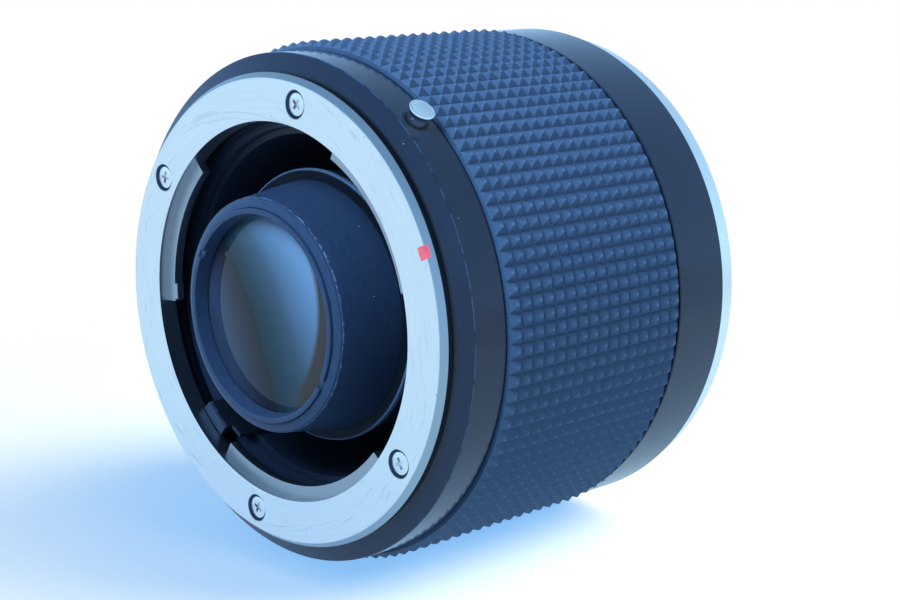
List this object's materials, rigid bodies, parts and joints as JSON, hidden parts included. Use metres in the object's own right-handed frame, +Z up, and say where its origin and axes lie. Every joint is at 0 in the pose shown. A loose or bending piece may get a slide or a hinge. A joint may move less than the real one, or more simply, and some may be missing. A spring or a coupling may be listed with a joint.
{
  "type": "camera teleconverter",
  "caption": "Barrel-shaped optical adapter with a lens bayonet in front, a camera bayonet behind, a ridged rubber grip, turning coupling sleeves and a lock button.",
  "frame": {"origin": "centre of the rear flange face that seats on the camera, on the optical axis; the object lies on its side", "axes": "+Y along the optical axis from the lens side to the camera side, +X to the right seen from the lens side, +Z up; the grip rests on a table 33.45 mm below the axis"},
  "size_m": [0.0668, 0.059, 0.0668],
  "materials": {
    "bright_ring": "satin chrome over brass, turned",
    "steel": "bright steel",
    "spring_steel": "dull spring steel",
    "red_mark": "red enamel",
    "black_anodised": "glossy black anodised",
    "black_matt": "matt black anodised",
    "black_satin": "semi-gloss black",
    "black_paint": "matt black paint over aluminium, against stray light",
    "rubber": "moulded black rubber",
    "coated_glass": "coated optical glass",
    "clear_glass": "polished optical glass"
  },
  "bodies": {
    "housing": {"front_bayonet_ring": "bright_ring", "lens_index_mark": "red_mark", "front_bayonet_screws": "steel", "bayonet_spring": "spring_steel", "front_barrel": "black_anodised", "rubber_grip": "rubber", "main_barrel": "black_matt", "rear_barrel": "black_satin", "barrel_set_screws": "steel", "rear_bayonet": "bright_ring", "rear_bayonet_screws": "steel", "camera_index_mark": "red_mark", "sleeve_carrier": "black_matt", "carrier_screws": "steel", "spring_anchors": "steel", "stop_down_spring": "spring_steel", "aperture_spring": "spring_steel", "button_bush": "steel", "lock_lever_pin": "steel", "lock_lever_clip": "spring_steel", "lock_lever_spring": "spring_steel", "optical_mount": "black_matt", "front_cell": "black_paint", "front_retaining_ring": "black_paint", "lens_tube": "black_paint", "tube_lock_ring": "black_paint", "front_glass": "coated_glass", "inner_retaining_ring": "black_paint", "second_glass": "clear_glass", "third_glass": "clear_glass", "glass_spacer": "black_paint", "fourth_glass": "clear_glass", "rear_glass": "coated_glass", "rear_retaining_ring": "black_paint"},
    "stop_down": {"stop_down_sleeve": "black_matt", "stop_down_front_lever": "steel", "stop_down_rear_lever": "steel", "stop_down_guide_screw": "steel"},
    "aperture": {"aperture_sleeve": "black_matt", "aperture_front_lever": "steel", "aperture_rear_lever": "steel", "aperture_guide_screw": "steel"},
    "release_button": {"release_button": "bright_ring", "button_clip": "spring_steel"},
    "lock_lever": {"lock_lever": "steel"}
  },
  "joints": [
    {"name": "release_button_press", "type": "slide", "parent": "housing", "child": "release_button", "axis": [-0.6225, 0, -0.7826], "range_m": [0, 0.00075], "stiffness_N_per_m": 400, "springref_m": -0.002},
    {"name": "lock_lever_swing", "type": "hinge", "parent": "housing", "child": "lock_lever", "pos_m": [0.01349, -0.0462, 0.02385], "axis": [0, 1, 0], "range_deg": [0, 9.92], "deforming": ["lock_lever_spring"]},
    {"name": "stop_down_turn", "type": "hinge", "parent": "housing", "child": "stop_down", "pos_m": [0, 0, 0], "axis": [0, 1, 0], "range_deg": [0, 20], "stiffness_Nm_per_rad": 0.04, "springref_deg": -20.05, "deforming": ["stop_down_spring"]},
    {"name": "aperture_turn", "type": "hinge", "parent": "housing", "child": "aperture", "pos_m": [0, 0, 0], "axis": [0, 1, 0], "range_deg": [0, 33], "stiffness_Nm_per_rad": 0.04, "springref_deg": -20.05, "deforming": ["aperture_spring"]}
  ],
  "couplings": [
    {"joint": "lock_lever_swing", "follows": "release_button_press", "rad_per_m": 229.79}
  ]
}
